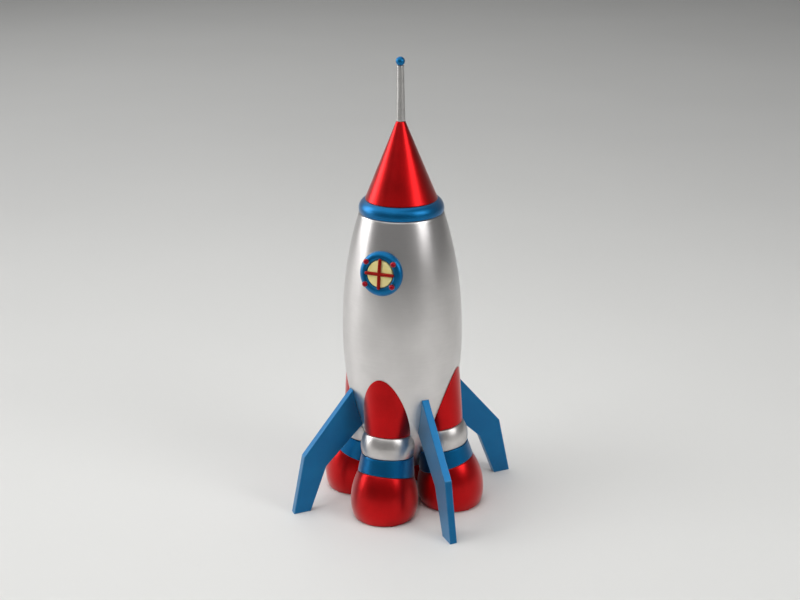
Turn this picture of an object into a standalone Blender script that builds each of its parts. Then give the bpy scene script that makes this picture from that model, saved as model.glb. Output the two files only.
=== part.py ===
"""A toy space rocket: turned hull, nose cone and ring, porthole, four fins and four engine pods.

Metres, +Z up. The origin is on the centre line, in the plane that the four pod bulbs and the four
fin tips stand on. The porthole and the front pod face -Y. The pods stand at the four axis
directions and the fins at the four diagonals between them.
"""

import math

import bmesh
import bpy
from mathutils import Matrix, Vector

# Overall
TOTAL_HEIGHT = 0.400
GAP = 0.0003

# Hull: widest at HULL_WAIST_Z, and drawn in towards both rims by a power of the distance from there
HULL_RADIUS = 0.0525
HULL_WAIST_Z = 0.1587
HULL_TOP_Z = 0.2680
HULL_TOP_RADIUS = 0.0365
HULL_TOP_POWER = 2.13
HULL_TAIL_Z = 0.0333
HULL_TAIL_RADIUS = 0.0210
HULL_TAIL_POWER = 2.31
HULL_RINGS = 22
HULL_SEGMENTS = 64

# Nose
NOSE_RING_Z = 0.2713
NOSE_RING_RADIUS = 0.0368
NOSE_RING_TUBE = 0.0087
CONE_BASE_Z = 0.2794
CONE_BASE_RADIUS = 0.0312
CONE_TOP_Z = 0.3460
MAST_BASE_RADIUS = 0.0039
MAST_TOP_RADIUS = 0.0029
BALL_RADIUS = 0.0039
BALL_SEAT_SHARE = 0.75
NOSE_SEGMENTS = 48
MAST_SEGMENTS = 16
NOSE_RING_STEPS = 9
BALL_STEPS = 10

# Fins: corners of the blade as (distance from the centre line, height)
FIN_THICKNESS = 0.0066
FIN_ROOT_TOP = (0.0486, 0.1112)
FIN_OUTER_BEND = (0.0965, 0.0541)
FIN_TIP_OUTER = (0.1079, 0.0)
FIN_TIP_INNER = (0.0921, 0.0)
FIN_INNER_BEND = (0.0762, 0.0412)
FIN_ROOT_BOTTOM = (0.0406, 0.0757)
FIN_ROOT_OVERLAP = 0.012
FIN_ANGLES = (45.0, 135.0, 225.0, 315.0)
FIN_NAMES = ("back_right", "back_left", "front_left", "front_right")

# Pods: levels run up the pod's line from the seam between bulb and band. Each seam is given as
# (distance from the centre line, height, lean in degrees) of its centre. Below the first seam the
# line bends evenly, so that the bulb kicks out and its foot lies level.
BULB_SEAM = (0.0416, 0.0374, 18.5)
BAND_SEAM = (0.0377, 0.0545, 10.2)
COLLAR_SEAM = (0.0354, 0.0742, 10.0)
BODY_LEAN = 9.8
BODY_LENGTH = 0.064
BULB_LEAN_CHANGE = 39.5
BULB_SEAM_RADIUS = 0.0252
BULB_RADIUS = 0.0295
BULB_WIDEST = 0.0247
BULB_DEPTH = 0.0298
BULB_SHOULDER_POWER = 1.25
BULB_FOOT_BEVEL = 0.0012
BAND_TOP_RADIUS = 0.0231
COLLAR_RADIUS = 0.0239
COLLAR_TOP_RADIUS = 0.0220
COLLAR_SWELL_POWER = 0.75
BODY_START_RADIUS = 0.0212
BODY_TOP_RADIUS = 0.0263
BODY_POWER = 0.81
POD_SEGMENTS = 36
POD_STEPS = 6
BULB_STEPS = 9
POD_ANGLES = (-90.0, 0.0, 90.0, 180.0)
POD_NAMES = ("front", "right", "back", "left")

# Porthole: levels are measured outwards from the hull's surface at the porthole's centre
PORTHOLE_Z = 0.2258
PORTHOLE_OUTER_RADIUS = 0.0193
PORTHOLE_CROWN_RADIUS = 0.0141
PORTHOLE_BORE_RADIUS = 0.0121
PORTHOLE_WIDEST_LEVEL = -0.0010
PORTHOLE_CROWN_LEVEL = 0.0039
PORTHOLE_BACK_LEVEL = -0.0077
PORTHOLE_BACK_RADIUS = 0.0159
PORTHOLE_SKIRT_RADIUS = 0.0187
PORTHOLE_SKIRT_DROP = 0.0020
PORTHOLE_DOME_STEPS = 6
PORTHOLE_LIP_STEPS = 3
PORTHOLE_SEGMENTS = 48
GLASS_RADIUS = PORTHOLE_BORE_RADIUS - GAP
GLASS_EDGE_LEVEL = 0.0031
GLASS_CENTRE_LEVEL = 0.0041
GLASS_STEPS = 4
CROSS_WIDTH = 0.0030
CROSS_HEIGHT = 0.0014
CROSS_LENGTH = 0.0264
CROSS_RISE = 0.0006
CROSS_END_SHARE = 0.55
CROSS_STEPS = 8
CROSS_SIDES = 6
RIVET_PITCH_RADIUS = 0.0155
RIVET_RADIUS = 0.0024
RIVET_FOOT_ANGLE = -20.0
RIVET_STEPS = 5
RIVET_SEGMENTS = 14
RIVET_ANGLES = (38.0, 142.0, 218.0, 322.0)
RIVET_NAMES = ("upper_right", "upper_left", "lower_left", "lower_right")

# Smoothing: edges sharper than this stay sharp when shaded, and points this close are one
SHARP_ANGLE = 30.0
WELD = 0.000001

# Colour, metallic and roughness of each finish
FINISHES = {
    "satin_silver": ((0.62, 0.62, 0.61), 1.0, 0.32),
    "polished_silver": ((0.74, 0.73, 0.71), 1.0, 0.22),
    "red_metallic": ((0.56, 0.010, 0.020), 0.75, 0.30),
    "blue_metallic": ((0.010, 0.140, 0.360), 0.70, 0.32),
    "blue_enamel": ((0.008, 0.130, 0.330), 0.0, 0.45),
    "cream_lens": ((0.78, 0.72, 0.34), 0.0, 0.25),
    "dark_red": ((0.30, 0.010, 0.008), 0.3, 0.35),
}


def clear_scene():
    for obj in list(bpy.data.objects):
        bpy.data.objects.remove(obj, do_unlink=True)


def make_material(name):
    colour, metallic, roughness = FINISHES[name]
    material = bpy.data.materials.new(name)
    material.use_nodes = True
    shader = material.node_tree.nodes["Principled BSDF"]
    shader.inputs["Base Color"].default_value = (*colour, 1.0)
    shader.inputs["Metallic"].default_value = metallic
    shader.inputs["Roughness"].default_value = roughness
    material.diffuse_color = (*colour, 1.0)
    return material


def add_object(name, bm, finish, matrix=None):
    """One solid from a bmesh, with its faces turned outwards."""
    bmesh.ops.recalc_face_normals(bm, faces=bm.faces)
    mesh = bpy.data.meshes.new(name)
    bm.to_mesh(mesh)
    bm.free()
    mesh.shade_smooth()
    mesh.set_sharp_from_angle(angle=math.radians(SHARP_ANGLE))
    obj = bpy.data.objects.new(name, mesh)
    bpy.context.scene.collection.objects.link(obj)
    if matrix is not None:
        obj.matrix_world = matrix
    if finish:
        mesh.materials.append(make_material(finish))
    return obj


def turned(points, segments, ring=False):
    """A solid turned about Z from (radius, height) points: a closed ring, or ends on the axis or capped."""
    bm = bmesh.new()
    verts = [bm.verts.new((radius, 0.0, height)) for radius, height in points]
    edges = [bm.edges.new(pair) for pair in zip(verts, verts[1:])]
    if ring:
        edges.append(bm.edges.new((verts[-1], verts[0])))
    bmesh.ops.spin(
        bm,
        geom=verts + edges,
        cent=(0.0, 0.0, 0.0),
        axis=(0.0, 0.0, 1.0),
        angle=2.0 * math.pi,
        steps=segments,
        use_merge=True,
    )
    bmesh.ops.remove_doubles(bm, verts=bm.verts, dist=WELD)
    fill_openings(bm)
    return bm


def fill_openings(bm):
    open_edges = [edge for edge in bm.edges if edge.is_boundary]
    if open_edges:
        bmesh.ops.holes_fill(bm, edges=open_edges, sides=0)


def arc(centre, radii, start, end, steps):
    """Points of an elliptical arc, angles in degrees from the outward direction."""
    points = []
    for i in range(steps + 1):
        angle = math.radians(start + (end - start) * i / steps)
        points.append((centre[0] + radii[0] * math.cos(angle), centre[1] + radii[1] * math.sin(angle)))
    return points


def cut(obj, cutter):
    boolean = obj.modifiers.new("cope", "BOOLEAN")
    boolean.operation = "DIFFERENCE"
    boolean.solver = "EXACT"
    boolean.object = cutter


def as_cutter(obj):
    obj.hide_render = True
    obj.display_type = "WIRE"
    return obj


def hull_radius(height):
    if height > HULL_WAIST_Z:
        share = (height - HULL_WAIST_Z) / (HULL_TOP_Z - HULL_WAIST_Z)
        return HULL_RADIUS - (HULL_RADIUS - HULL_TOP_RADIUS) * share**HULL_TOP_POWER
    share = (HULL_WAIST_Z - height) / (HULL_WAIST_Z - HULL_TAIL_Z)
    return HULL_RADIUS - (HULL_RADIUS - HULL_TAIL_RADIUS) * share**HULL_TAIL_POWER


def hull_slope(height):
    """Angle by which the hull's surface above the waist leans in, going up."""
    span = HULL_TOP_Z - HULL_WAIST_Z
    share = (height - HULL_WAIST_Z) / span
    drop = (HULL_RADIUS - HULL_TOP_RADIUS) * HULL_TOP_POWER * share ** (HULL_TOP_POWER - 1.0)
    return math.atan2(drop, span)


def hull_profile(offset):
    """The hull's outline from tail to top, moved outwards by the offset."""
    points = []
    for i in range(HULL_RINGS + 1):
        height = HULL_TAIL_Z + (HULL_TOP_Z - HULL_TAIL_Z) * i / HULL_RINGS
        points.append((hull_radius(height) + offset, height))
    tail = (points[0][0], points[0][1] - offset)
    top = (points[-1][0], points[-1][1] + offset)
    return [tail, *points[1:-1], top]


def make_hull():
    return add_object("hull", turned(hull_profile(0.0), HULL_SEGMENTS), "satin_silver")


def make_hull_cutter():
    return as_cutter(add_object("hull_cutter", turned(hull_profile(GAP), HULL_SEGMENTS), None))


def make_nose():
    major = NOSE_RING_RADIUS - NOSE_RING_TUBE
    start = math.degrees(math.asin((HULL_TOP_Z + GAP - NOSE_RING_Z) / NOSE_RING_TUBE))
    end = math.degrees(math.asin((CONE_BASE_Z - GAP - NOSE_RING_Z) / NOSE_RING_TUBE))
    ring = arc((major, NOSE_RING_Z), (NOSE_RING_TUBE, NOSE_RING_TUBE), start, end, NOSE_RING_STEPS)
    add_object("nose_ring", turned(ring, NOSE_SEGMENTS), "blue_metallic")
    cone = [(CONE_BASE_RADIUS, CONE_BASE_Z), (MAST_BASE_RADIUS, CONE_TOP_Z)]
    add_object("nose_cone", turned(cone, NOSE_SEGMENTS), "red_metallic")
    ball_z = TOTAL_HEIGHT - BALL_RADIUS
    seat_angle = math.asin(MAST_TOP_RADIUS / BALL_RADIUS) * BALL_SEAT_SHARE
    mast_top = ball_z - BALL_RADIUS * math.cos(seat_angle) - GAP
    mast = [(MAST_BASE_RADIUS, CONE_TOP_Z + GAP), (MAST_TOP_RADIUS, mast_top)]
    add_object("antenna_mast", turned(mast, MAST_SEGMENTS), "satin_silver")
    foot = math.degrees(seat_angle) - 90.0
    ball = arc((0.0, ball_z), (BALL_RADIUS, BALL_RADIUS), foot, 90.0, BALL_STEPS)
    ball[-1] = (0.0, TOTAL_HEIGHT)
    add_object("antenna_ball", turned(ball, MAST_SEGMENTS), "blue_metallic")


def make_fins(cutter):
    outline = [
        (FIN_ROOT_TOP[0] - FIN_ROOT_OVERLAP, FIN_ROOT_TOP[1]),
        FIN_ROOT_TOP,
        FIN_OUTER_BEND,
        FIN_TIP_OUTER,
        FIN_TIP_INNER,
        FIN_INNER_BEND,
        FIN_ROOT_BOTTOM,
        (FIN_ROOT_BOTTOM[0] - FIN_ROOT_OVERLAP, FIN_ROOT_BOTTOM[1]),
    ]
    for name, angle in zip(FIN_NAMES, FIN_ANGLES):
        bm = bmesh.new()
        verts = [bm.verts.new((radius, -FIN_THICKNESS / 2.0, height)) for radius, height in outline]
        face = bm.faces.new(verts)
        grown = bmesh.ops.extrude_face_region(bm, geom=[face])
        moved = [item for item in grown["geom"] if isinstance(item, bmesh.types.BMVert)]
        bmesh.ops.translate(bm, verts=moved, vec=(0.0, FIN_THICKNESS, 0.0))
        matrix = Matrix.Rotation(math.radians(angle), 4, "Z")
        fin = add_object("fin_" + name, bm, "blue_enamel", matrix)
        cut(fin, cutter)


def seam_distance(first, second):
    return math.hypot(second[0] - first[0], second[1] - first[1])


BAND_END = seam_distance(BULB_SEAM, BAND_SEAM)
COLLAR_END = BAND_END + seam_distance(BAND_SEAM, COLLAR_SEAM)


def between(first, second, share):
    return tuple(a + (b - a) * share for a, b in zip(first, second))


def pod_line(level):
    """Distance from the centre line, height and lean of the pod's line at a level."""
    if level >= COLLAR_END:
        reach = level - COLLAR_END
        lean = math.radians(BODY_LEAN)
        distance = COLLAR_SEAM[0] - reach * math.sin(lean)
        return distance, COLLAR_SEAM[1] + reach * math.cos(lean), COLLAR_SEAM[2]
    if level >= BAND_END:
        return between(BAND_SEAM, COLLAR_SEAM, (level - BAND_END) / (COLLAR_END - BAND_END))
    if level >= 0.0:
        return between(BULB_SEAM, BAND_SEAM, level / BAND_END)
    rate = math.radians(BULB_LEAN_CHANGE) / (BULB_WIDEST + BULB_DEPTH)
    start = math.radians(BULB_SEAM[2])
    lean = start + rate * level
    distance = BULB_SEAM[0] + (math.cos(lean) - math.cos(start)) / rate
    height = BULB_SEAM[1] - (math.sin(start) - math.sin(lean)) / rate
    return distance, height, math.degrees(lean)


def follow_pod_line(bm):
    """Moves a solid turned about Z onto the pod's line, in the plane that holds the centre line."""
    for vert in bm.verts:
        distance, height, degrees = pod_line(vert.co.z)
        lean = math.radians(degrees)
        across = vert.co.x
        vert.co.x = distance + across * math.cos(lean)
        vert.co.z = height + across * math.sin(lean)


def bulb_profile():
    """Flares from the seam to the widest section and rounds off below it."""
    points = []
    for i in range(BULB_STEPS + 1):
        angle = math.pi / 2.0 * i / BULB_STEPS
        level = -BULB_WIDEST - BULB_DEPTH * math.cos(angle)
        points.append((BULB_RADIUS * math.sin(angle), level))
    flare = BULB_RADIUS - BULB_SEAM_RADIUS
    for i in range(1, POD_STEPS + 1):
        share = i / POD_STEPS
        level = -BULB_WIDEST + (BULB_WIDEST - GAP) * share
        points.append((BULB_RADIUS - flare * share**BULB_SHOULDER_POWER, level))
    return points


def collar_profile():
    """A bulged collar that swells between its two seams."""
    points = []
    length = COLLAR_END - GAP - BAND_END
    swell = COLLAR_RADIUS - (BAND_TOP_RADIUS + COLLAR_TOP_RADIUS) / 2.0
    for i in range(POD_STEPS + 1):
        share = i / POD_STEPS
        radius = BAND_TOP_RADIUS + (COLLAR_TOP_RADIUS - BAND_TOP_RADIUS) * share
        radius += swell * math.sin(math.pi * share) ** COLLAR_SWELL_POWER
        points.append((radius, BAND_END + length * share))
    return points


def body_profile():
    """Grows upwards and ends hidden inside the hull's place."""
    points = []
    for i in range(POD_STEPS + 1):
        share = i / POD_STEPS
        radius = BODY_START_RADIUS + (BODY_TOP_RADIUS - BODY_START_RADIUS) * share**BODY_POWER
        points.append((radius, COLLAR_END + BODY_LENGTH * share))
    return points


def cut_foot(bm):
    """Cuts the bulb level with the origin's plane and takes the edge off its foot."""
    geometry = bm.verts[:] + bm.edges[:] + bm.faces[:]
    bmesh.ops.bisect_plane(
        bm,
        geom=geometry,
        dist=WELD,
        plane_co=(0.0, 0.0, 0.0),
        plane_no=(0.0, 0.0, -1.0),
        clear_outer=True,
    )
    foot_edges = [edge for edge in bm.edges if edge.is_boundary]
    fill_openings(bm)
    bmesh.ops.bevel(
        bm,
        geom=foot_edges,
        offset=BULB_FOOT_BEVEL,
        segments=1,
        profile=0.5,
        affect="EDGES",
    )


def make_pods(cutter):
    band = [(BULB_SEAM_RADIUS, 0.0), (BAND_TOP_RADIUS, BAND_END - GAP)]
    pieces = (
        ("body", body_profile(), "red_metallic"),
        ("collar", collar_profile(), "polished_silver"),
        ("band", band, "blue_metallic"),
        ("bulb", bulb_profile(), "red_metallic"),
    )
    for pod_name, angle in zip(POD_NAMES, POD_ANGLES):
        place = Matrix.Rotation(math.radians(angle), 4, "Z")
        for piece_name, profile, finish in pieces:
            bm = turned(profile, POD_SEGMENTS)
            follow_pod_line(bm)
            if piece_name == "bulb":
                cut_foot(bm)
            cut(add_object(f"pod_{pod_name}_{piece_name}", bm, finish, place), cutter)


def porthole_matrix():
    """Local Z points out of the hull, local Y up along its surface, local X to +X."""
    slope = hull_slope(PORTHOLE_Z)
    out = Vector((0.0, -math.cos(slope), math.sin(slope)))
    up = Vector((0.0, math.sin(slope), math.cos(slope)))
    across = up.cross(out)
    centre = Vector((0.0, -hull_radius(PORTHOLE_Z), PORTHOLE_Z))
    return Matrix.Translation(centre) @ Matrix((across, up, out)).transposed().to_4x4()


def ring_section():
    """Domed outside, small round at the bore, straight bore, back buried in the hull's place."""
    dome = (PORTHOLE_OUTER_RADIUS - PORTHOLE_CROWN_RADIUS, PORTHOLE_CROWN_LEVEL - PORTHOLE_WIDEST_LEVEL)
    outer = arc((PORTHOLE_CROWN_RADIUS, PORTHOLE_WIDEST_LEVEL), dome, 0.0, 90.0, PORTHOLE_DOME_STEPS)
    lip = PORTHOLE_CROWN_RADIUS - PORTHOLE_BORE_RADIUS
    lip_centre = (PORTHOLE_CROWN_RADIUS, PORTHOLE_CROWN_LEVEL - lip)
    inner = arc(lip_centre, (lip, lip), 90.0, 180.0, PORTHOLE_LIP_STEPS)
    back = [
        (PORTHOLE_BORE_RADIUS, PORTHOLE_BACK_LEVEL),
        (PORTHOLE_BACK_RADIUS, PORTHOLE_BACK_LEVEL),
        (PORTHOLE_SKIRT_RADIUS, PORTHOLE_WIDEST_LEVEL - PORTHOLE_SKIRT_DROP),
    ]
    return outer + inner[1:] + back


def glass_profile():
    points = [(0.0, PORTHOLE_BACK_LEVEL), (GLASS_RADIUS, PORTHOLE_BACK_LEVEL)]
    for i in range(GLASS_STEPS + 1):
        share = i / GLASS_STEPS
        radius = GLASS_RADIUS * (1.0 - share)
        rise = (GLASS_CENTRE_LEVEL - GLASS_EDGE_LEVEL) * (1.0 - (1.0 - share) ** 2)
        points.append((radius, GLASS_EDGE_LEVEL + rise))
    return points


def make_bar(angle):
    """A half-round bar bowed over the glass, its flat side a gap above the crown and the glass."""
    bm = bmesh.new()
    loops = []
    for i in range(CROSS_STEPS + 1):
        share = 2.0 * i / CROSS_STEPS - 1.0
        along = CROSS_LENGTH / 2.0 * share
        size = CROSS_END_SHARE if i in (0, CROSS_STEPS) else 1.0
        level = PORTHOLE_CROWN_LEVEL + GAP + CROSS_RISE * (1.0 - share**2)
        section = arc((0.0, level), (CROSS_WIDTH / 2.0 * size, CROSS_HEIGHT * size), 0.0, 180.0, CROSS_SIDES)
        loops.append([bm.verts.new((along, side, height)) for side, height in section])
    for first, second in zip(loops, loops[1:]):
        for j in range(len(first)):
            bm.faces.new((first[j - 1], first[j], second[j], second[j - 1]))
    bm.faces.new(loops[0])
    bm.faces.new(loops[-1])
    turn = Matrix.Rotation(math.radians(angle), 3, "Z")
    bmesh.ops.rotate(bm, verts=bm.verts, cent=(0.0, 0.0, 0.0), matrix=turn)
    return bm


def make_cross(place):
    upright = as_cutter(add_object("porthole_cross_upright", make_bar(90.0), None, place))
    cross = add_object("porthole_cross", make_bar(0.0), "dark_red", place)
    join = cross.modifiers.new("join", "BOOLEAN")
    join.operation = "UNION"
    join.solver = "EXACT"
    join.object = upright


def make_rivets(place):
    """Ball-headed rivets, each with its flat foot a gap above the ring's crown."""
    level = PORTHOLE_CROWN_LEVEL + GAP - RIVET_RADIUS * math.sin(math.radians(RIVET_FOOT_ANGLE))
    ball = arc((0.0, 0.0), (RIVET_RADIUS, RIVET_RADIUS), RIVET_FOOT_ANGLE, 90.0, RIVET_STEPS)
    ball[-1] = (0.0, RIVET_RADIUS)
    for name, angle in zip(RIVET_NAMES, RIVET_ANGLES):
        turn = math.radians(angle)
        spot = Vector((RIVET_PITCH_RADIUS * math.cos(turn), RIVET_PITCH_RADIUS * math.sin(turn), level))
        rivet = turned(ball, RIVET_SEGMENTS)
        add_object("porthole_rivet_" + name, rivet, "red_metallic", place @ Matrix.Translation(spot))


def make_porthole(cutter):
    place = porthole_matrix()
    ring = turned(ring_section(), PORTHOLE_SEGMENTS, ring=True)
    cut(add_object("porthole_ring", ring, "blue_metallic", place), cutter)
    glass = turned(glass_profile(), PORTHOLE_SEGMENTS)
    cut(add_object("porthole_glass", glass, "cream_lens", place), cutter)
    make_cross(place)
    make_rivets(place)


def main():
    clear_scene()
    make_hull()
    cutter = make_hull_cutter()
    make_nose()
    make_fins(cutter)
    make_pods(cutter)
    make_porthole(cutter)


main()
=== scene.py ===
import math

import bmesh
import bpy
from mathutils import Matrix, Quaternion, Vector


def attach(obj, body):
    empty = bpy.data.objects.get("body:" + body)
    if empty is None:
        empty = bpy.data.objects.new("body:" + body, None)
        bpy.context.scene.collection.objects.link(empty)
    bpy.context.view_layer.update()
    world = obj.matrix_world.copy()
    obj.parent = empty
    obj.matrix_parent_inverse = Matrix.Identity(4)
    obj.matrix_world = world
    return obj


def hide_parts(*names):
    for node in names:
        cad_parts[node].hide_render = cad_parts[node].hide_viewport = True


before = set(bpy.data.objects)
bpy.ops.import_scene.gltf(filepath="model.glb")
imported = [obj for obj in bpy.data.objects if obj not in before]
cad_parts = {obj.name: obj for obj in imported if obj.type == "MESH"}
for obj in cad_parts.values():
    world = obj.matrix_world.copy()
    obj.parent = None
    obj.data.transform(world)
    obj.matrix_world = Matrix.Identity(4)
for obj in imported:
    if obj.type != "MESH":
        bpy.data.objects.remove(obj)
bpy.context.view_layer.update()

mm = 0.001
seamGap = 0.3 * mm  # between pieces that touch, as in the CAD
weld = 0.001 * mm  # points nearer than this become one
rimAngle = 40.0  # edges that fold more than this get a round, in degrees
shadeAngle = 32.0  # edges that fold less than this are shaded smooth, in degrees
print("frame loaded,", len(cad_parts), "CAD nodes")


# Camera, as fitted to the photograph. The distance, in metres, is from the point it aims at.
photoCamera = {
    "azimuth": 21.95,
    "elevation": 19.92,
    "roll": -0.475,
    "aim": (-0.0241, 0.0547, 0.1648),
    "distance": 1.2513,
    "lens": 60.885,
    "sensor": 36.0,
    "clip": (0.05, 60.0),
}


def outwards(azimuth, elevation):
    # azimuth 0 is towards -Y and 90 towards +X
    across, up = math.radians(azimuth), math.radians(elevation)
    level = math.cos(up)
    return Vector((math.sin(across) * level, -math.cos(across) * level, math.sin(up)))


def makeCamera(settings):
    back = outwards(settings["azimuth"], settings["elevation"])
    lens = bpy.data.cameras.new("photoCamera")
    lens.lens = settings["lens"]
    lens.sensor_width = settings["sensor"]
    lens.clip_start, lens.clip_end = settings["clip"]
    camera = bpy.data.objects.new("photoCamera", lens)
    camera.location = Vector(settings["aim"]) + back * settings["distance"]
    camera.rotation_mode = "QUATERNION"
    level = (-back).to_track_quat("-Z", "Y")
    roll = Quaternion((0.0, 0.0, 1.0), math.radians(settings["roll"]))
    camera.rotation_quaternion = level @ roll
    bpy.context.scene.collection.objects.link(camera)
    bpy.context.scene.camera = camera


makeCamera(photoCamera)
print("camera set")


# Colours and materials
def linear(hexColour):
    # sRGB hex to the linear values that sockets take
    values = []
    for start in (0, 2, 4):
        value = int(hexColour[start:start + 2], 16) / 255.0
        values.append(value / 12.92 if value <= 0.04045 else ((value + 0.055) / 1.055) ** 2.4)
    return (*values, 1.0)


# Nearly all of a noise texture's values lie between these.
noiseLow, noiseHigh = 0.3, 0.7


def addNode(owner, kind, inputs=None, **settings):
    # The owner is a material or the world. inputs holds plain values or another node's output,
    # by socket name or number. A Mix node of colours takes its share on 0 and its colours on 6
    # and 7, and gives the result on output 2.
    tree = owner.node_tree
    node = tree.nodes.new(kind)
    for name, value in settings.items():
        setattr(node, name, value)
    for name, value in (inputs or {}).items():
        if isinstance(value, bpy.types.NodeSocket):
            tree.links.new(value, node.inputs[name])
        else:
            node.inputs[name].default_value = value
    return node


def newMaterial(name):
    material = bpy.data.materials.new(name)
    material.use_nodes = True
    material.node_tree.nodes.clear()
    return material


spunAluminium = {
    "light": "DCD9D8",
    "dark": "D4D1D0",
    "roughness": 0.32,
    "roughnessChange": 0.02,
    "anisotropic": 0.25,
    "lineSpacing": 1.6 * mm,  # real lathe lines are about 0.2 mm, too fine to show
    "lineShare": 0.25,  # how much the lines show in the colour, beside the smudges
    "lineDepth": 0.0005 * mm,
    "smudge": 28.0 * mm,
    "patchSpan": 0.15,  # the noise's swing that covers the whole change of colour
}


def makeAluminium(name, look):
    # Aluminium spun or turned on a lathe: fine lines run round it, so its highlights stretch
    # along the axis, and handling leaves faint duller patches.
    material = newMaterial(name)
    place = addNode(material, "ShaderNodeTexCoord").outputs["Object"]
    around, along = 1.0 / look["smudge"], 1.0 / look["lineSpacing"]
    spread = addNode(material, "ShaderNodeMapping", {
        "Vector": place, "Scale": (around, around, along),
    })
    lines = addNode(material, "ShaderNodeTexNoise", {
        "Vector": spread.outputs["Vector"], "Scale": 1.0, "Detail": 4.0, "Roughness": 0.6,
    })
    smudges = addNode(material, "ShaderNodeTexNoise", {
        "Vector": place, "Scale": around, "Detail": 3.0, "Roughness": 0.5,
    })
    both = addNode(material, "ShaderNodeMath", {
        0: lines.outputs["Fac"], 1: look["lineShare"], 2: smudges.outputs["Fac"],
    }, operation="MULTIPLY_ADD")
    middle = 0.5 + 0.5 * look["lineShare"]  # the mean of the two noises together
    patchLow, patchHigh = middle - look["patchSpan"], middle + look["patchSpan"]
    tint = addNode(material, "ShaderNodeMapRange", {
        "Value": both.outputs["Value"], "From Min": patchLow, "From Max": patchHigh,
    })
    colour = addNode(material, "ShaderNodeMix", {
        0: tint.outputs["Result"], 6: linear(look["light"]), 7: linear(look["dark"]),
    }, data_type="RGBA")
    dull = addNode(material, "ShaderNodeMapRange", {
        "Value": both.outputs["Value"],
        "From Min": patchLow,
        "From Max": patchHigh,
        "To Min": look["roughness"] - look["roughnessChange"],
        "To Max": look["roughness"] + look["roughnessChange"],
    })
    grooves = addNode(material, "ShaderNodeBump", {
        "Height": lines.outputs["Fac"], "Strength": 1.0, "Distance": look["lineDepth"],
    })
    tangent = addNode(material, "ShaderNodeTangent", direction_type="RADIAL", axis="Z")
    shader = addNode(material, "ShaderNodeBsdfPrincipled", {
        "Base Color": colour.outputs[2],
        "Metallic": 1.0,
        "Roughness": dull.outputs["Result"],
        "Anisotropic": look["anisotropic"],
        "Anisotropic Rotation": 0.25,  # across the lines
        "Normal": grooves.outputs["Normal"],
        "Tangent": tangent.outputs["Tangent"],
    })
    addNode(material, "ShaderNodeOutputMaterial", {"Surface": shader.outputs["BSDF"]})
    return material


turnedAluminium = dict(
    spunAluminium,
    light="DAD8D6",
    dark="C8C6C4",
    lineSpacing=0.9 * mm,
    smudge=9.0 * mm,
)
polishedAluminium = dict(
    spunAluminium,
    light="D6D2D0",
    dark="CCC8C6",
    roughness=0.37,
    roughnessChange=0.03,
    anisotropic=0.2,
    lineDepth=0.0003 * mm,
    smudge=14.0 * mm,
)

redLacquer = {
    "deep": "B8050A",
    "bright": "CE080F",
    "metallic": 0.95,
    "roughness": 0.36,
    "roughnessChange": 0.03,
    "coat": 0.15,
    "coatRoughness": 0.25,
    "haze": 0.85,
    "hazeRoughness": 0.32,
    "hazeTint": "FFE0DC",
    "flake": 0.9 * mm,  # real flakes are about 0.05 mm, too fine to show
    "sparkle": 0.12,  # how much each flake changes the colour
    "brightAt": 0.8,  # the noise value that shows the bright colour
    "flakeTilt": 0.0005 * mm,
    "peel": 3.0 * mm,
    "peelDepth": 0.002 * mm,
    "cloud": 22.0 * mm,
}
blueLacquer = dict(
    redLacquer,
    deep="03649A",
    bright="0570A8",
    roughness=0.42,
    hazeTint="F0F6FF",
)
windowRed = dict(
    redLacquer,
    deep="9C0C02",
    bright="AE1204",
    metallic=0.8,
    roughness=0.4,
    haze=0.0,
    cloud=6.0 * mm,
)
rivetRed = dict(
    redLacquer,
    deep="96061E",
    bright="A60A28",
    metallic=0.9,
    roughness=0.34,
    haze=0.9,
    cloud=3.0 * mm,
)


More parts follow.
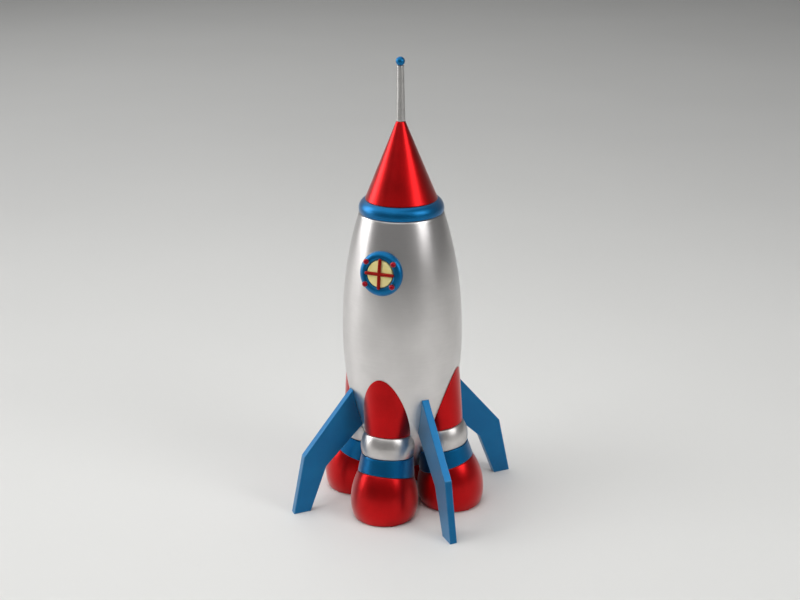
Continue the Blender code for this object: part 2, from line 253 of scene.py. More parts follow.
def makeLacquer(name, look):
    # Metallic lacquer sprayed over metal: flakes sparkle a little and give a pale haze at
    # glancing angles, the film has a slight orange peel, and its colour clouds a little.
    material = newMaterial(name)
    place = addNode(material, "ShaderNodeTexCoord").outputs["Object"]
    clouds = addNode(material, "ShaderNodeTexNoise", {
        "Vector": place, "Scale": 1.0 / look["cloud"], "Detail": 3.0, "Roughness": 0.55,
    })
    flakes = addNode(material, "ShaderNodeTexVoronoi", {
        "Vector": place, "Scale": 1.0 / look["flake"],
    }, feature="F1")
    peel = addNode(material, "ShaderNodeTexNoise", {
        "Vector": place, "Scale": 1.0 / look["peel"], "Detail": 1.0,
    })
    speck = addNode(material, "ShaderNodeSeparateColor", {"Color": flakes.outputs["Color"]})
    shine = addNode(material, "ShaderNodeMath", {
        0: speck.outputs["Red"], 1: look["sparkle"], 2: clouds.outputs["Fac"],
    }, operation="MULTIPLY_ADD")
    depth = addNode(material, "ShaderNodeMapRange", {
        "Value": shine.outputs["Value"], "From Min": noiseLow, "From Max": look["brightAt"],
    })
    colour = addNode(material, "ShaderNodeMix", {
        0: depth.outputs["Result"], 6: linear(look["deep"]), 7: linear(look["bright"]),
    }, data_type="RGBA")
    dull = addNode(material, "ShaderNodeMapRange", {
        "Value": clouds.outputs["Fac"],
        "From Min": noiseLow,
        "From Max": noiseHigh,
        "To Min": look["roughness"] - look["roughnessChange"],
        "To Max": look["roughness"] + look["roughnessChange"],
    })
    skin = addNode(material, "ShaderNodeBump", {
        "Height": peel.outputs["Fac"], "Strength": 1.0, "Distance": look["peelDepth"],
    })
    grain = addNode(material, "ShaderNodeBump", {
        "Height": speck.outputs["Green"],
        "Strength": 1.0,
        "Distance": look["flakeTilt"],
        "Normal": skin.outputs["Normal"],
    })
    shader = addNode(material, "ShaderNodeBsdfPrincipled", {
        "Base Color": colour.outputs[2],
        "Metallic": look["metallic"],
        "Roughness": dull.outputs["Result"],
        "Coat Weight": look["coat"],
        "Coat Roughness": look["coatRoughness"],
        "Sheen Weight": look["haze"],
        "Sheen Roughness": look["hazeRoughness"],
        "Sheen Tint": linear(look["hazeTint"]),
        "Normal": grain.outputs["Normal"],
        "Coat Normal": skin.outputs["Normal"],
    })
    addNode(material, "ShaderNodeOutputMaterial", {"Surface": shader.outputs["BSDF"]})
    return material


blueEnamel = {
    "deep": "04659B",
    "bright": "066FA6",
    "worn": "4E8AB4",
    "metallic": 0.6,
    "roughness": 0.4,
    "roughnessChange": 0.03,
    "gloss": 0.2,
    "coat": 0.12,
    "coatRoughness": 0.2,
    "haze": 1.0,
    "hazeRoughness": 0.42,
    "hazeTint": "BFE6FF",
    "grain": 1.2 * mm,
    "grainDepth": 0.0015 * mm,
    "cloud": 30.0 * mm,
}


def makeEnamel(name, look):
    # Blue metallic enamel stoved on a cast slab: semi-matt with a fine grain and a pale haze
    # at glancing angles, and a little paler where handling has rubbed the edges.
    material = newMaterial(name)
    place = addNode(material, "ShaderNodeTexCoord").outputs["Object"]
    clouds = addNode(material, "ShaderNodeTexNoise", {
        "Vector": place, "Scale": 1.0 / look["cloud"], "Detail": 4.0, "Roughness": 0.6,
    })
    grain = addNode(material, "ShaderNodeTexNoise", {
        "Vector": place, "Scale": 1.0 / look["grain"], "Detail": 2.0,
    })
    depth = addNode(material, "ShaderNodeMapRange", {
        "Value": clouds.outputs["Fac"], "From Min": noiseLow, "From Max": noiseHigh,
    })
    plain = addNode(material, "ShaderNodeMix", {
        0: depth.outputs["Result"], 6: linear(look["deep"]), 7: linear(look["bright"]),
    }, data_type="RGBA")
    rubbed = addNode(material, "ShaderNodeAttribute", attribute_name="edgeRub")
    patchy = addNode(material, "ShaderNodeMath", {
        0: rubbed.outputs["Fac"], 1: grain.outputs["Fac"],
    }, operation="MULTIPLY")
    colour = addNode(material, "ShaderNodeMix", {
        0: patchy.outputs["Value"], 6: plain.outputs[2], 7: linear(look["worn"]),
    }, data_type="RGBA")
    dull = addNode(material, "ShaderNodeMapRange", {
        "Value": clouds.outputs["Fac"],
        "From Min": noiseLow,
        "From Max": noiseHigh,
        "To Min": look["roughness"] - look["roughnessChange"],
        "To Max": look["roughness"] + look["roughnessChange"],
    })
    skin = addNode(material, "ShaderNodeBump", {
        "Height": grain.outputs["Fac"], "Strength": 1.0, "Distance": look["grainDepth"],
    })
    shader = addNode(material, "ShaderNodeBsdfPrincipled", {
        "Base Color": colour.outputs[2],
        "Metallic": look["metallic"],
        "Roughness": dull.outputs["Result"],
        "Specular IOR Level": look["gloss"],
        "Coat Weight": look["coat"],
        "Coat Roughness": look["coatRoughness"],
        "Sheen Weight": look["haze"],
        "Sheen Roughness": look["hazeRoughness"],
        "Sheen Tint": linear(look["hazeTint"]),
        "Normal": skin.outputs["Normal"],
    })
    addNode(material, "ShaderNodeOutputMaterial", {"Surface": shader.outputs["BSDF"]})
    return material


creamAcrylic = {
    "pale": "FFF4AE",
    "deep": "FAEA94",
    "roughness": 0.22,
    "index": 1.49,
    "cloud": 7.0 * mm,
    "ripple": 5.0 * mm,
    "rippleDepth": 0.010 * mm,
}


def makeAcrylic(name, look):
    # Moulded cream acrylic lens: milky, glossy, with slight flow clouds.
    material = newMaterial(name)
    place = addNode(material, "ShaderNodeTexCoord").outputs["Object"]
    clouds = addNode(material, "ShaderNodeTexNoise", {
        "Vector": place, "Scale": 1.0 / look["cloud"], "Detail": 2.0,
    })
    ripple = addNode(material, "ShaderNodeTexNoise", {
        "Vector": place, "Scale": 1.0 / look["ripple"], "Detail": 1.0,
    })
    depth = addNode(material, "ShaderNodeMapRange", {
        "Value": clouds.outputs["Fac"], "From Min": noiseLow, "From Max": noiseHigh,
    })
    colour = addNode(material, "ShaderNodeMix", {
        0: depth.outputs["Result"], 6: linear(look["deep"]), 7: linear(look["pale"]),
    }, data_type="RGBA")
    skin = addNode(material, "ShaderNodeBump", {
        "Height": ripple.outputs["Fac"], "Strength": 1.0, "Distance": look["rippleDepth"],
    })
    shader = addNode(material, "ShaderNodeBsdfPrincipled", {
        "Base Color": colour.outputs[2],
        "Metallic": 0.0,
        "Roughness": look["roughness"],
        "IOR": look["index"],
        "Normal": skin.outputs["Normal"],
    })
    addNode(material, "ShaderNodeOutputMaterial", {"Surface": shader.outputs["BSDF"]})
    return material


hullMetal = makeAluminium("spunSatinAluminium", spunAluminium)
mastMetal = makeAluminium("turnedSatinAluminium", turnedAluminium)
collarMetal = makeAluminium("turnedPolishedAluminium", polishedAluminium)
redPaint = makeLacquer("redMetallicLacquer", redLacquer)
bluePaint = makeLacquer("blueMetallicLacquer", blueLacquer)
crossPaint = makeLacquer("darkRedLacquer", windowRed)
rivetPaint = makeLacquer("redRivetLacquer", rivetRed)
finPaint = makeEnamel("blueStovedEnamel", blueEnamel)
lensPlastic = makeAcrylic("creamAcrylicLens", creamAcrylic)
print("materials made")


# Modelling helpers. A turned piece starts as a line in the XZ plane, with its radius along X.
def arcPoints(centre, radii, start, end, steps):
    points = []
    for i in range(steps + 1):
        angle = math.radians(start + (end - start) * i / steps)
        across, up = radii[0] * math.cos(angle), radii[1] * math.sin(angle)
        points.append((centre[0] + across, centre[1] + up))
    return points


def drawLine(points, closed=False):
    bm = bmesh.new()
    verts = [bm.verts.new((radius, 0.0, height)) for radius, height in points]
    for pair in zip(verts, verts[1:]):
        bm.edges.new(pair)
    if closed:
        bm.edges.new((verts[-1], verts[0]))
    return bm


def formedLine(low, high, cuts, radiusAt):
    # a straight line cut into steps, each moved out to its radius
    bm = drawLine([(0.0, low), (0.0, high)])
    bmesh.ops.subdivide_edges(bm, edges=bm.edges[:], cuts=cuts)
    for vert in bm.verts:
        vert.co.x = radiusAt(vert.co.z)
    return bm


def turn(bm, steps, axis=(0.0, 0.0, 1.0)):
    # spins the line into a closed solid, with its faces outwards
    bmesh.ops.spin(
        bm,
        geom=bm.verts[:] + bm.edges[:],
        cent=(0.0, 0.0, 0.0),
        axis=axis,
        angle=math.tau,
        steps=steps,
        use_merge=True,
    )
    bmesh.ops.remove_doubles(bm, verts=bm.verts[:], dist=weld)
    openEdges = [edge for edge in bm.edges if edge.is_boundary]
    if openEdges:
        bmesh.ops.holes_fill(bm, edges=openEdges, sides=0)
    bmesh.ops.recalc_face_normals(bm, faces=bm.faces[:])
    return bm


def roundEdges(bm, edges, width, segments=3):
    return bmesh.ops.bevel(
        bm,
        geom=edges,
        offset=width,
        segments=segments,
        profile=0.5,
        affect="EDGES",
        material=-1,
    )


def roundRims(bm, width):
    folded = math.radians(rimAngle)
    roundEdges(bm, [edge for edge in bm.edges if edge.calc_face_angle(0.0) > folded], width)


def border(bm, faces, width):
    # a narrow border round a big flat face keeps its shading flat
    bmesh.ops.inset_individual(bm, faces=faces, thickness=width, use_even_offset=True)


def trimBelow(bm):
    # takes away what lies below level 0, closes the cut and returns the edges round it
    bmesh.ops.bisect_plane(
        bm,
        geom=bm.verts[:] + bm.edges[:] + bm.faces[:],
        dist=weld,
        plane_co=(0.0, 0.0, 0.0),
        plane_no=(0.0, 0.0, -1.0),
        clear_outer=True,
    )
    rim = [edge for edge in bm.edges if edge.is_boundary]
    bmesh.ops.holes_fill(bm, edges=rim, sides=0)
    return rim


def makeMesh(name, bm):
    mesh = bpy.data.meshes.new(name)
    bm.to_mesh(mesh)
    bm.free()
    mesh.shade_smooth()
    mesh.set_sharp_from_angle(angle=math.radians(shadeAngle))
    return mesh


def addObject(name, mesh):
    piece = bpy.data.objects.new(name, mesh)
    bpy.context.scene.collection.objects.link(piece)
    return piece


def shapeWith(bm, tool, operation):
    # the shape after a boolean with the tool object
    blank = addObject("blank", makeMesh("blank", bm))
    cut = blank.modifiers.new("shape", "BOOLEAN")
    cut.operation, cut.solver, cut.object = operation, "EXACT", tool
    evaluated = blank.evaluated_get(bpy.context.evaluated_depsgraph_get())
    shaped = bpy.data.meshes.new_from_object(evaluated)
    bpy.data.objects.remove(blank)
    joined = bmesh.new()
    joined.from_mesh(shaped)
    bmesh.ops.remove_doubles(joined, verts=joined.verts[:], dist=weld)
    bpy.data.meshes.remove(shaped)
    return joined


def titleOf(nodeName):
    # fin_back_right becomes finBackRight
    first, *others = nodeName.split("_")
    return first + "".join(word.capitalize() for word in others)


def finishMesh(name, mesh, material, slotName, nodeName):
    mesh.materials.clear()
    mesh.materials.append(material)
    piece = addObject(name, mesh)
    mesh.name = name
    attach(piece, "root")
    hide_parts(nodeName)


def finishPiece(name, bm, material, slotName, nodeName):
    finishMesh(name, makeMesh(name, bm), material, slotName, nodeName)


# Hull, widest at the waist and drawn in towards both rims. A power of 2 draws its side in
# along a parabola, and a higher one later and more sharply.
hull = {
    "radius": 52.5 * mm,
    "waist": 158.7 * mm,
    "top": 268.0 * mm,
    "topRadius": 36.5 * mm,
    "topPower": 2.13,
    "tail": 33.3 * mm,
    "tailRadius": 21.0 * mm,
    "tailPower": 2.31,
    "rimRound": 0.9 * mm,
    "capBorder": 1.0 * mm,
    "rings": 110,
    "steps": 144,
}


def hullRadius(height):
    if height > hull["waist"]:
        share = min((height - hull["waist"]) / (hull["top"] - hull["waist"]), 1.0)
        return hull["radius"] - (hull["radius"] - hull["topRadius"]) * share ** hull["topPower"]
    share = min((hull["waist"] - height) / (hull["waist"] - hull["tail"]), 1.0)
    return hull["radius"] - (hull["radius"] - hull["tailRadius"]) * share ** hull["tailPower"]


def hullForm(offset):
    # the hull's solid, grown by the offset on every side
    low, high = hull["tail"] - offset, hull["top"] + offset
    line = formedLine(low, high, hull["rings"], lambda height: hullRadius(height) + offset)
    return turn(line, hull["steps"])


def makeHull():
    bm = hullForm(0.0)
    roundRims(bm, hull["rimRound"])
    ends = [face for face in bm.faces if len(face.verts) == hull["steps"]]
    border(bm, ends, hull["capBorder"])
    finishPiece("hullShell", bm, hullMetal, "hull_silver", "hull")


makeHull()
# what stands against the hull is cut with this slightly larger one, which leaves the gap
hullTool = addObject("hullTool", makeMesh("hullTool", hullForm(seamGap)))
print("hull made")


# Nose: ring with a round rim, cone, tapered mast and ball
nose = {
    "ringHeight": 271.3 * mm,
    "ringRadius": 36.8 * mm,
    "ringTube": 8.7 * mm,
    "coneBase": 279.4 * mm,
    "coneRadius": 31.2 * mm,
    "coneTop": 346.0 * mm,
    "mastRadius": 3.9 * mm,
    "mastTopRadius": 2.9 * mm,
    "ballRadius": 3.9 * mm,
    "ballTop": 400.0 * mm,
    "ballSeat": 0.75,  # share of the mast's top that the flat under the ball covers
    "rimRound": 0.35 * mm,
    "mastRound": 0.21 * mm,
    "ringArc": 40,
    "coneCuts": 60,
    "mastCuts": 40,
    "ballArc": 24,
    "steps": 128,
    "mastSteps": 48,
}


def makeNose():
    tube, centre = nose["ringTube"], nose["ringHeight"]
    start = math.degrees(math.asin((hull["top"] + seamGap - centre) / tube))
    end = math.degrees(math.asin((nose["coneBase"] - seamGap - centre) / tube))
    middle = (nose["ringRadius"] - tube, centre)
    section = arcPoints(middle, (tube, tube), start, end, nose["ringArc"])
    ring = turn(drawLine(section), nose["steps"])
    roundRims(ring, nose["rimRound"])
    finishPiece("noseRing", ring, bluePaint, "trim_blue", "nose_ring")

    base, top = nose["coneBase"], nose["coneTop"]
    tip = nose["mastRadius"]
    taper = (nose["coneRadius"] - tip) / (top - base)
    cone = formedLine(base, top, nose["coneCuts"], lambda height: tip + taper * (top - height))
    turn(cone, nose["steps"])
    roundRims(cone, nose["rimRound"])
    finishPiece("noseCone", cone, redPaint, "nose_red", "nose_cone")

    ballCentre = nose["ballTop"] - nose["ballRadius"]
    seat = math.asin(nose["mastTopRadius"] / nose["ballRadius"]) * nose["ballSeat"]
    mastFoot = top + seamGap
    mastTop = ballCentre - nose["ballRadius"] * math.cos(seat) - seamGap
    slimmest = nose["mastTopRadius"]
    slim = (nose["mastRadius"] - slimmest) / (mastTop - mastFoot)
    mast = formedLine(
        mastFoot, mastTop, nose["mastCuts"], lambda height: slimmest + slim * (mastTop - height)
    )
    turn(mast, nose["mastSteps"])
    roundRims(mast, nose["mastRound"])
    finishPiece("antennaMast", mast, mastMetal, "mast_silver", "antenna_mast")

    size = (nose["ballRadius"], nose["ballRadius"])
    start = math.degrees(seat) - 90.0
    section = arcPoints((0.0, ballCentre), size, start, 90.0, nose["ballArc"])
    ball = turn(drawLine(section), nose["mastSteps"])
    finishPiece("antennaBall", ball, bluePaint, "trim_blue", "antenna_ball")


makeNose()
print("nose made")


# Fins: one swept slab cut to the hull, then turned to the four diagonals
fins = {
    "thickness": 6.6 * mm,
    "outline": (  # (distance from the centre line, height) in mm
        (36.0, 111.2),
        (48.6, 111.2),
        (96.5, 54.1),
        (107.9, 0.0),
        (92.1, 0.0),
        (76.2, 41.2),
        (40.6, 75.7),
        (28.0, 75.7),
    ),
    "edgeRound": 0.35 * mm,
    "rubWidth": 0.5 * mm,
    "smallestFlat": 40.0 * mm * mm,  # larger than any face of the rounded edges
    "angles": {
        "fin_back_right": 45.0,
        "fin_back_left": 135.0,
        "fin_front_left": 225.0,
        "fin_front_right": 315.0,
    },
}


def makeFins():
    bm = bmesh.new()
    side = -fins["thickness"] / 2.0
    corners = [bm.verts.new((out * mm, side, height * mm)) for out, height in fins["outline"]]
    grown = bmesh.ops.extrude_face_region(bm, geom=[bm.faces.new(corners)])
    moved = [item for item in grown["geom"] if isinstance(item, bmesh.types.BMVert)]
    bmesh.ops.translate(bm, verts=moved, vec=(0.0, fins["thickness"], 0.0))
    bmesh.ops.recalc_face_normals(bm, faces=bm.faces[:])
    # the edges' wear is 1 on their rounds and fades to 0 across the border inside them
    rub = bm.verts.layers.float.new("edgeRub")
    rounded = roundEdges(bm, bm.edges[:], fins["edgeRound"])
    for vert in rounded["verts"]:
        vert[rub] = 1.0
    flats = [face for face in bm.faces if face.calc_area() > fins["smallestFlat"]]
    border(bm, flats, fins["rubWidth"])
    for face in flats:
        for vert in face.verts:
            vert[rub] = 0.0
    blank = makeMesh("finBlank", shapeWith(bm, hullTool, "DIFFERENCE"))
    for nodeName, angle in fins["angles"].items():
        mesh = blank.copy()
        mesh.transform(Matrix.Rotation(math.radians(angle), 4, "Z"))
        finishMesh(titleOf(nodeName), mesh, finPaint, "fin_blue", nodeName)


makeFins()
print("fins made")


# Pods. A level runs up the pod's line from the seam between bulb and band, and each seam is
# (distance from the centre line, height, lean in degrees). Below level 0 the line is an arc,
# upright at about the bulb's widest level.
pods = {
    "bulbSeam": (41.6 * mm, 37.4 * mm, 18.5),
    "bandSeam": (37.7 * mm, 54.5 * mm, 10.2),
    "collarSeam": (35.4 * mm, 74.2 * mm, 10.0),
    "bodyLean": 9.6,
    "bodyLength": 64.0 * mm,
    "bulbBend": 41.0,  # degrees, over the whole bulb
    "bulbSeamRadius": 25.2 * mm,
    "bulbRadius": 30.1 * mm,
    "bulbWidest": 24.0 * mm,
    "bulbDepth": 32.5 * mm,  # of the bowl below that level, before its foot is cut
    "bulbPower": 2.0,
    "footRound": 1.2 * mm,
    "footSegments": 5,
    "bandTopRadius": 23.1 * mm,
    "collarBaseRadius": 22.3 * mm,
    "collarRadius": 23.9 * mm,
    "collarTopRadius": 20.7 * mm,
    "collarPower": 0.7,
    "bodyRadius": 20.5 * mm,
    "bodyTopRadius": 26.4 * mm,
    "bodyPower": 0.83,
    "rimRound": 0.45 * mm,
    "bowlArc": 32,
    "flareSteps": 24,
    "bandCuts": 14,
    "collarCuts": 31,
    "bodyCuts": 47,
    "steps": 112,
    "angles": {"front": -90.0, "right": 0.0, "back": 90.0, "left": 180.0},
}
bandEnd = math.dist(pods["bulbSeam"][:2], pods["bandSeam"][:2])
collarEnd = bandEnd + math.dist(pods["bandSeam"][:2], pods["collarSeam"][:2])


def between(first, second, share):
    return tuple(a + (b - a) * share for a, b in zip(first, second))


def podLine(level):
    # distance from the centre line, height and lean at a level
    if level >= collarEnd:
        reach, lean = level - collarEnd, math.radians(pods["bodyLean"])
        distance, height, tilt = pods["collarSeam"]
        return distance - reach * math.sin(lean), height + reach * math.cos(lean), tilt
    if level >= bandEnd:
        share = (level - bandEnd) / (collarEnd - bandEnd)
        return between(pods["bandSeam"], pods["collarSeam"], share)
    if level >= 0.0:
        return between(pods["bulbSeam"], pods["bandSeam"], level / bandEnd)
    rate = math.radians(pods["bulbBend"]) / (pods["bulbWidest"] + pods["bulbDepth"])
    start = math.radians(pods["bulbSeam"][2])
    lean = start + rate * level
    distance = pods["bulbSeam"][0] + (math.cos(lean) - math.cos(start)) / rate
    height = pods["bulbSeam"][1] - (math.sin(start) - math.sin(lean)) / rate
    return distance, height, math.degrees(lean)


def followPodLine(bm):
    # moves a piece that was turned round a straight line onto the pod's bent one
    for vert in bm.verts:
        distance, height, degrees = podLine(vert.co.z)
        lean, across = math.radians(degrees), vert.co.x
        vert.co.x = distance + across * math.cos(lean)
        vert.co.z = height + across * math.sin(lean)


def bulbShape():
    # a quarter ellipse below the widest level and a flare above it, up to the seam
    widest, radius = -pods["bulbWidest"], pods["bulbRadius"]
    size = (radius, pods["bulbDepth"])
    points = arcPoints((0.0, widest), size, -90.0, 0.0, pods["bowlArc"])
    points[0] = (0.0, widest - pods["bulbDepth"])
    flare = radius - pods["bulbSeamRadius"]
    for i in range(1, pods["flareSteps"] + 1):
        share = i / pods["flareSteps"]
        level = widest * (1.0 - share) - seamGap * share
        points.append((radius - flare * share ** pods["bulbPower"], level))
    return drawLine(points)


def bandShape():
    low, high = pods["bulbSeamRadius"], pods["bandTopRadius"]

    def radiusAt(level):
        return low + (high - low) * level / bandEnd

    return formedLine(0.0, bandEnd - seamGap, pods["bandCuts"], radiusAt)


def collarShape():
    length = collarEnd - seamGap - bandEnd
    low, high = pods["collarBaseRadius"], pods["collarTopRadius"]
    swell = pods["collarRadius"] - (low + high) / 2.0

    def radiusAt(level):
        share = min(max((level - bandEnd) / length, 0.0), 1.0)
        straight = low + (high - low) * share
        return straight + swell * math.sin(math.pi * share) ** pods["collarPower"]

    return formedLine(bandEnd, bandEnd + length, pods["collarCuts"], radiusAt)


def bodyShape():
    low, growth = pods["bodyRadius"], pods["bodyTopRadius"] - pods["bodyRadius"]

    def radiusAt(level):
        share = max((level - collarEnd) / pods["bodyLength"], 0.0)
        return low + growth * share ** pods["bodyPower"]

    return formedLine(collarEnd, collarEnd + pods["bodyLength"], pods["bodyCuts"], radiusAt)


def makePods():
    kinds = {
        "body": (bodyShape, redPaint, "pod_red"),
        "collar": (collarShape, collarMetal, "collar_silver"),
        "band": (bandShape, bluePaint, "trim_blue"),
        "bulb": (bulbShape, redPaint, "pod_red"),
    }
    for kind, (shape, material, slotName) in kinds.items():
        bm = turn(shape(), pods["steps"])
        roundRims(bm, pods["rimRound"])
        followPodLine(bm)
        if kind == "bulb":
            # it stands on a level flat with a small round at its edge
            roundEdges(bm, trimBelow(bm), pods["footRound"], pods["footSegments"])
        blank = makeMesh("podBlank", shapeWith(bm, hullTool, "DIFFERENCE"))
        for side, angle in pods["angles"].items():
            mesh = blank.copy()
            mesh.transform(Matrix.Rotation(math.radians(angle), 4, "Z"))
            nodeName = f"pod_{side}_{kind}"
            finishMesh(titleOf(nodeName), mesh, material, slotName, nodeName)


makePods()
print("pods made")


# Porthole. Levels are measured outwards from the hull's surface at the porthole's centre.
porthole = {
    "height": 225.8 * mm,
    "outerRadius": 19.3 * mm,
    "crownRadius": 14.1 * mm,
    "boreRadius": 11.7 * mm,
    "widestLevel": -1.0 * mm,
    "crownLevel": 3.9 * mm,
    "backLevel": -7.7 * mm,
    "backRadius": 15.9 * mm,
    "skirtRadius": 18.7 * mm,
    "skirtLevel": -3.0 * mm,
    "lensEdge": 3.1 * mm,
    "lensCentre": 4.1 * mm,
    "lensRound": 0.3 * mm,
    "crownArc": 20,
    "lipArc": 10,
    "lensSteps": 14,
    "steps": 128,
}
cross = {
    "width": 3.0 * mm,
    "thickness": 1.4 * mm,
    "length": 26.4 * mm,
    "bow": 0.6 * mm,
    "endArc": 8,
    "rodSteps": 24,
    "steps": 32,
}
rivets = {
    "pitchRadius": 15.5 * mm,
    "radius": 2.4 * mm,
    "footAngle": -20.0,
    "footRound": 0.15 * mm,
    "arc": 14,
    "steps": 40,
    "angles": {
        "porthole_rivet_upper_right": 38.0,
        "porthole_rivet_upper_left": 142.0,
        "porthole_rivet_lower_left": 218.0,
        "porthole_rivet_lower_right": 322.0,
    },
}


def portholePlace():
    # its own Z points out of the hull, its Y up along the hull's side
    height = porthole["height"]
    nearby = 0.1 * mm
    narrowing = hullRadius(height - nearby) - hullRadius(height + nearby)
    slope = math.atan2(narrowing, 2.0 * nearby)
    out = Vector((0.0, -math.cos(slope), math.sin(slope)))
    up = Vector((0.0, math.sin(slope), math.cos(slope)))
    turned = Matrix((up.cross(out), up, out)).transposed().to_4x4()
    return Matrix.Translation((0.0, -hullRadius(height), height)) @ turned


def makeBar(angle):
    # a round-ended rod laid over the lens, flat underneath and slightly bowed
    half, radius = cross["length"] / 2.0, cross["width"] / 2.0
    straight, steps = half - radius, cross["rodSteps"]
    end = arcPoints((straight, 0.0), (radius, radius), 0.0, 90.0, cross["endArc"])
    end[0] = (half, 0.0)
    end[-1] = (straight, radius)
    rod = [(straight - 2.0 * straight * i / steps, radius) for i in range(1, steps + 1)]
    otherEnd = [(-along, side) for along, side in reversed(end[:-1])]
    bm = bmesh.new()
    line = [bm.verts.new((along, side, 0.0)) for along, side in end + rod + otherEnd]
    for pair in zip(line, line[1:]):
        bm.edges.new(pair)
    turn(bm, cross["steps"], axis=(1.0, 0.0, 0.0))
    for vert in bm.verts:
        vert.co.z *= cross["thickness"] / radius
    trimBelow(bm)
    bmesh.ops.triangulate(bm, faces=[face for face in bm.faces if len(face.verts) > 4])
    seat = porthole["crownLevel"] + seamGap
    for vert in bm.verts:
        vert.co.z += seat + cross["bow"] * (1.0 - (vert.co.x / half) ** 2)
    turned = Matrix.Rotation(math.radians(angle), 3, "Z")
    bmesh.ops.rotate(bm, verts=bm.verts[:], cent=(0.0, 0.0, 0.0), matrix=turned)
    return bm


def makeRing(place):
    # a domed crown outside, a small lip into the bore, and a skirt that runs into the hull
    radius, level = porthole["crownRadius"], porthole["crownLevel"]
    bore, back = porthole["boreRadius"], porthole["backLevel"]
    dome = (porthole["outerRadius"] - radius, level - porthole["widestLevel"])
    crown = arcPoints((radius, porthole["widestLevel"]), dome, 0.0, 90.0, porthole["crownArc"])
    turnIn = radius - bore
    lip = arcPoints((radius, level - turnIn), (turnIn, turnIn), 90.0, 180.0, porthole["lipArc"])
    inside = [
        (bore, back),
        (porthole["backRadius"], back),
        (porthole["skirtRadius"], porthole["skirtLevel"]),
    ]
    ring = turn(drawLine(crown + lip[1:] + inside, closed=True), porthole["steps"])
    ring.transform(place)
    coped = shapeWith(ring, hullTool, "DIFFERENCE")
    finishPiece("portholeRing", coped, bluePaint, "trim_blue", "porthole_ring")


def makeLens(place):
    # a plug that fills the bore, with a slightly crowned face
    radius, back = porthole["boreRadius"] - seamGap, porthole["backLevel"]
    edge = porthole["lensEdge"]
    rise = porthole["lensCentre"] - edge
    section = [(0.0, back), (radius, back)]
    for i in range(porthole["lensSteps"] + 1):
        share = i / porthole["lensSteps"]
        section.append((radius * (1.0 - share), edge + rise * (1.0 - (1.0 - share) ** 2)))
    lens = turn(drawLine(section), porthole["steps"])
    roundRims(lens, porthole["lensRound"])
    lens.transform(place)
    coped = shapeWith(lens, hullTool, "DIFFERENCE")
    finishPiece("portholeLens", coped, lensPlastic, "window_cream", "porthole_glass")


def makeCross(place):
    upright = addObject("upright", makeMesh("upright", makeBar(90.0)))
    joined = shapeWith(makeBar(0.0), upright, "UNION")
    bpy.data.objects.remove(upright)
    joined.transform(place)
    finishPiece("portholeCross", joined, crossPaint, "window_red", "porthole_cross")


def makeRivets(place):
    # ball heads, each cut off a little below its middle, where it sits on the ring
    radius, foot = rivets["radius"], rivets["footAngle"]
    level = porthole["crownLevel"] + seamGap - radius * math.sin(math.radians(foot))
    section = arcPoints((0.0, 0.0), (radius, radius), foot, 90.0, rivets["arc"])
    for nodeName, angle in rivets["angles"].items():
        head = turn(drawLine(section), rivets["steps"])
        roundRims(head, rivets["footRound"])
        around = math.radians(angle)
        spot = Vector((math.cos(around), math.sin(around), 0.0)) * rivets["pitchRadius"]
        spot.z = level
        head.transform(place @ Matrix.Translation(spot))
        title = titleOf(nodeName.removeprefix("porthole_"))
        finishPiece(title, head, rivetPaint, "rivet_red", nodeName)


for makePart in (makeRing, makeLens, makeCross, makeRivets):
    makePart(portholePlace())
bpy.data.objects.remove(hullTool)
print("porthole made")


# Floor and light
paleFloor = {
    "colour": "D8D8D6",
    "shade": "D2D2D0",
    "radius": 40.0,
    "steps": 96,
    "roughness": 0.6,
    "patch": 0.4,
}


def makeFloor(look):
    # plain matt painted board: pale, with only the faintest change of tone from place to place
    bm = bmesh.new()
    bmesh.ops.create_circle(bm, cap_ends=True, segments=look["steps"], radius=look["radius"])
    floor = addObject("paleFloor", makeMesh("paleFloor", bm))
    material = newMaterial("mattPaleBoard")
    place = addNode(material, "ShaderNodeTexCoord").outputs["Object"]
    patches = addNode(material, "ShaderNodeTexNoise", {
        "Vector": place, "Scale": 1.0 / look["patch"],
    })
    colour = addNode(material, "ShaderNodeMix", {
        0: patches.outputs["Fac"], 6: linear(look["colour"]), 7: linear(look["shade"]),
    }, data_type="RGBA")
    shader = addNode(material, "ShaderNodeBsdfPrincipled", {
        "Base Color": colour.outputs[2], "Roughness": look["roughness"],
    })
    addNode(material, "ShaderNodeOutputMaterial", {"Surface": shader.outputs["BSDF"]})
    floor.data.materials.append(material)
    return floor


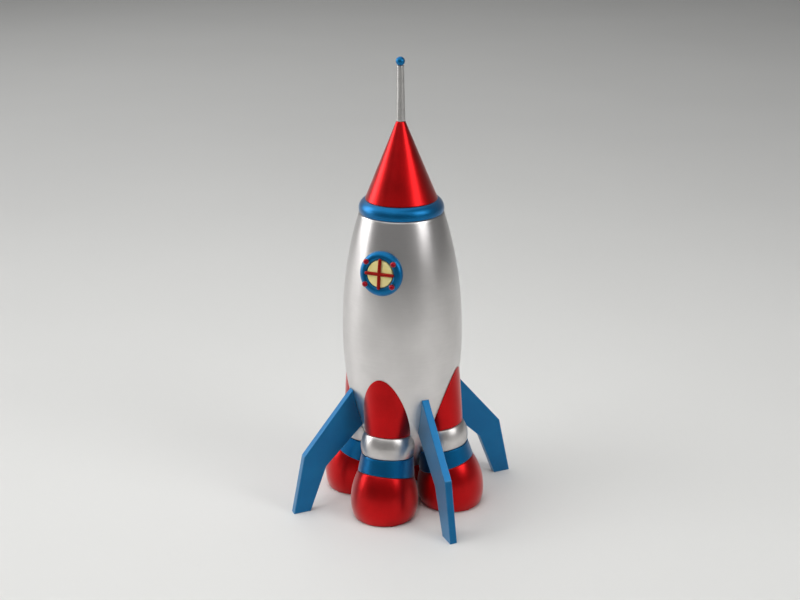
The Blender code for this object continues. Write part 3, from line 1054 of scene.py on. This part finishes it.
# Each lamp stands at an azimuth, elevation and distance from the point it aims at, in metres,
# with its power in watts. One without diffuse gives only highlights, and one without glossy
# gives none.
lampAim = (0.0, 0.0, 180.0 * mm)
softboxes = {
    "keyRight": {
        "azimuth": 79.0,
        "elevation": 31.0,
        "distance": 1.6,
        "size": (0.7, 0.9),
        "power": 7.5,
    },
    "sideLeft": {
        "azimuth": -88.0,
        "elevation": 21.0,
        "distance": 3.0,
        "size": (1.0, 1.8),
        "power": 33.0,
        "diffuse": False,
    },
    "frontLeft": {
        "azimuth": -70.0,
        "elevation": 8.0,
        "distance": 2.0,
        "size": (0.4, 0.6),
        "power": 0.8,
        "spread": 90.0,
    },
    "frontHigh": {
        "azimuth": 15.0,
        "elevation": 50.0,
        "distance": 2.4,
        "size": (3.4, 1.0),
        "power": 9.0,
        "diffuse": False,
    },
    "overhead": {
        "azimuth": -110.0,
        "elevation": 66.0,
        "distance": 2.8,
        "size": (4.6, 4.6),
        "power": 66.0,
    },
    "pool": {  # a gridded lamp overhead, linked to the floor alone
        "azimuth": 0.0,
        "elevation": 80.0,
        "distance": 1.7,
        "size": (0.8, 0.8),
        "power": 1.6,
        "spread": 70.0,
        "glossy": False,
        "floorOnly": True,
    },
    "fillLeft": {
        "azimuth": -52.0,
        "elevation": 36.0,
        "distance": 2.4,
        "size": (1.6, 1.6),
        "power": 22.0,
        "glossy": False,
    },
}


def makeSoftbox(name, look, floorGroup):
    lamp = bpy.data.lights.new(name, "AREA")
    lamp.shape = "RECTANGLE"
    lamp.size, lamp.size_y = look["size"]
    lamp.energy = look["power"]
    lamp.spread = math.radians(look.get("spread", 180.0))
    softbox = bpy.data.objects.new(name, lamp)
    out = outwards(look["azimuth"], look["elevation"])
    softbox.location = Vector(lampAim) + out * look["distance"]
    softbox.rotation_mode = "QUATERNION"
    softbox.rotation_quaternion = (-out).to_track_quat("-Z", "Y")
    softbox.visible_camera = False
    softbox.visible_glossy = look.get("glossy", True)
    softbox.visible_diffuse = look.get("diffuse", True)
    if look.get("floorOnly"):
        softbox.light_linking.receiver_collection = floorGroup
    bpy.context.scene.collection.objects.link(softbox)


studio = {
    "colour": "FFFFFF",
    "strength": 0.16,
    "horizon": 0.122,
    "risesTo": 12.0,  # degrees above the horizon
}


def makeWorld(look):
    # an even pale room, a little darker low down, where it meets the far floor
    world = bpy.data.worlds.new("studio")
    world.use_nodes = True
    background = world.node_tree.nodes["Background"]
    background.inputs["Color"].default_value = linear(look["colour"])
    towards = addNode(world, "ShaderNodeTexCoord").outputs["Generated"]
    height = addNode(world, "ShaderNodeSeparateXYZ", {"Vector": towards})
    strength = addNode(world, "ShaderNodeMapRange", {
        "Value": height.outputs["Z"],
        "From Min": 0.0,
        "From Max": math.sin(math.radians(look["risesTo"])),
        "To Min": look["horizon"],
        "To Max": look["strength"],
    }, interpolation_type="SMOOTHSTEP")
    world.node_tree.links.new(strength.outputs["Result"], background.inputs["Strength"])
    bpy.context.scene.world = world


floorGroup = bpy.data.collections.new("floorGroup")
floorGroup.objects.link(makeFloor(paleFloor))
for softboxName, softboxLook in softboxes.items():
    makeSoftbox(softboxName, softboxLook, floorGroup)
makeWorld(studio)
bpy.context.scene.view_settings.view_transform = "Standard"
print("floor and lights made")
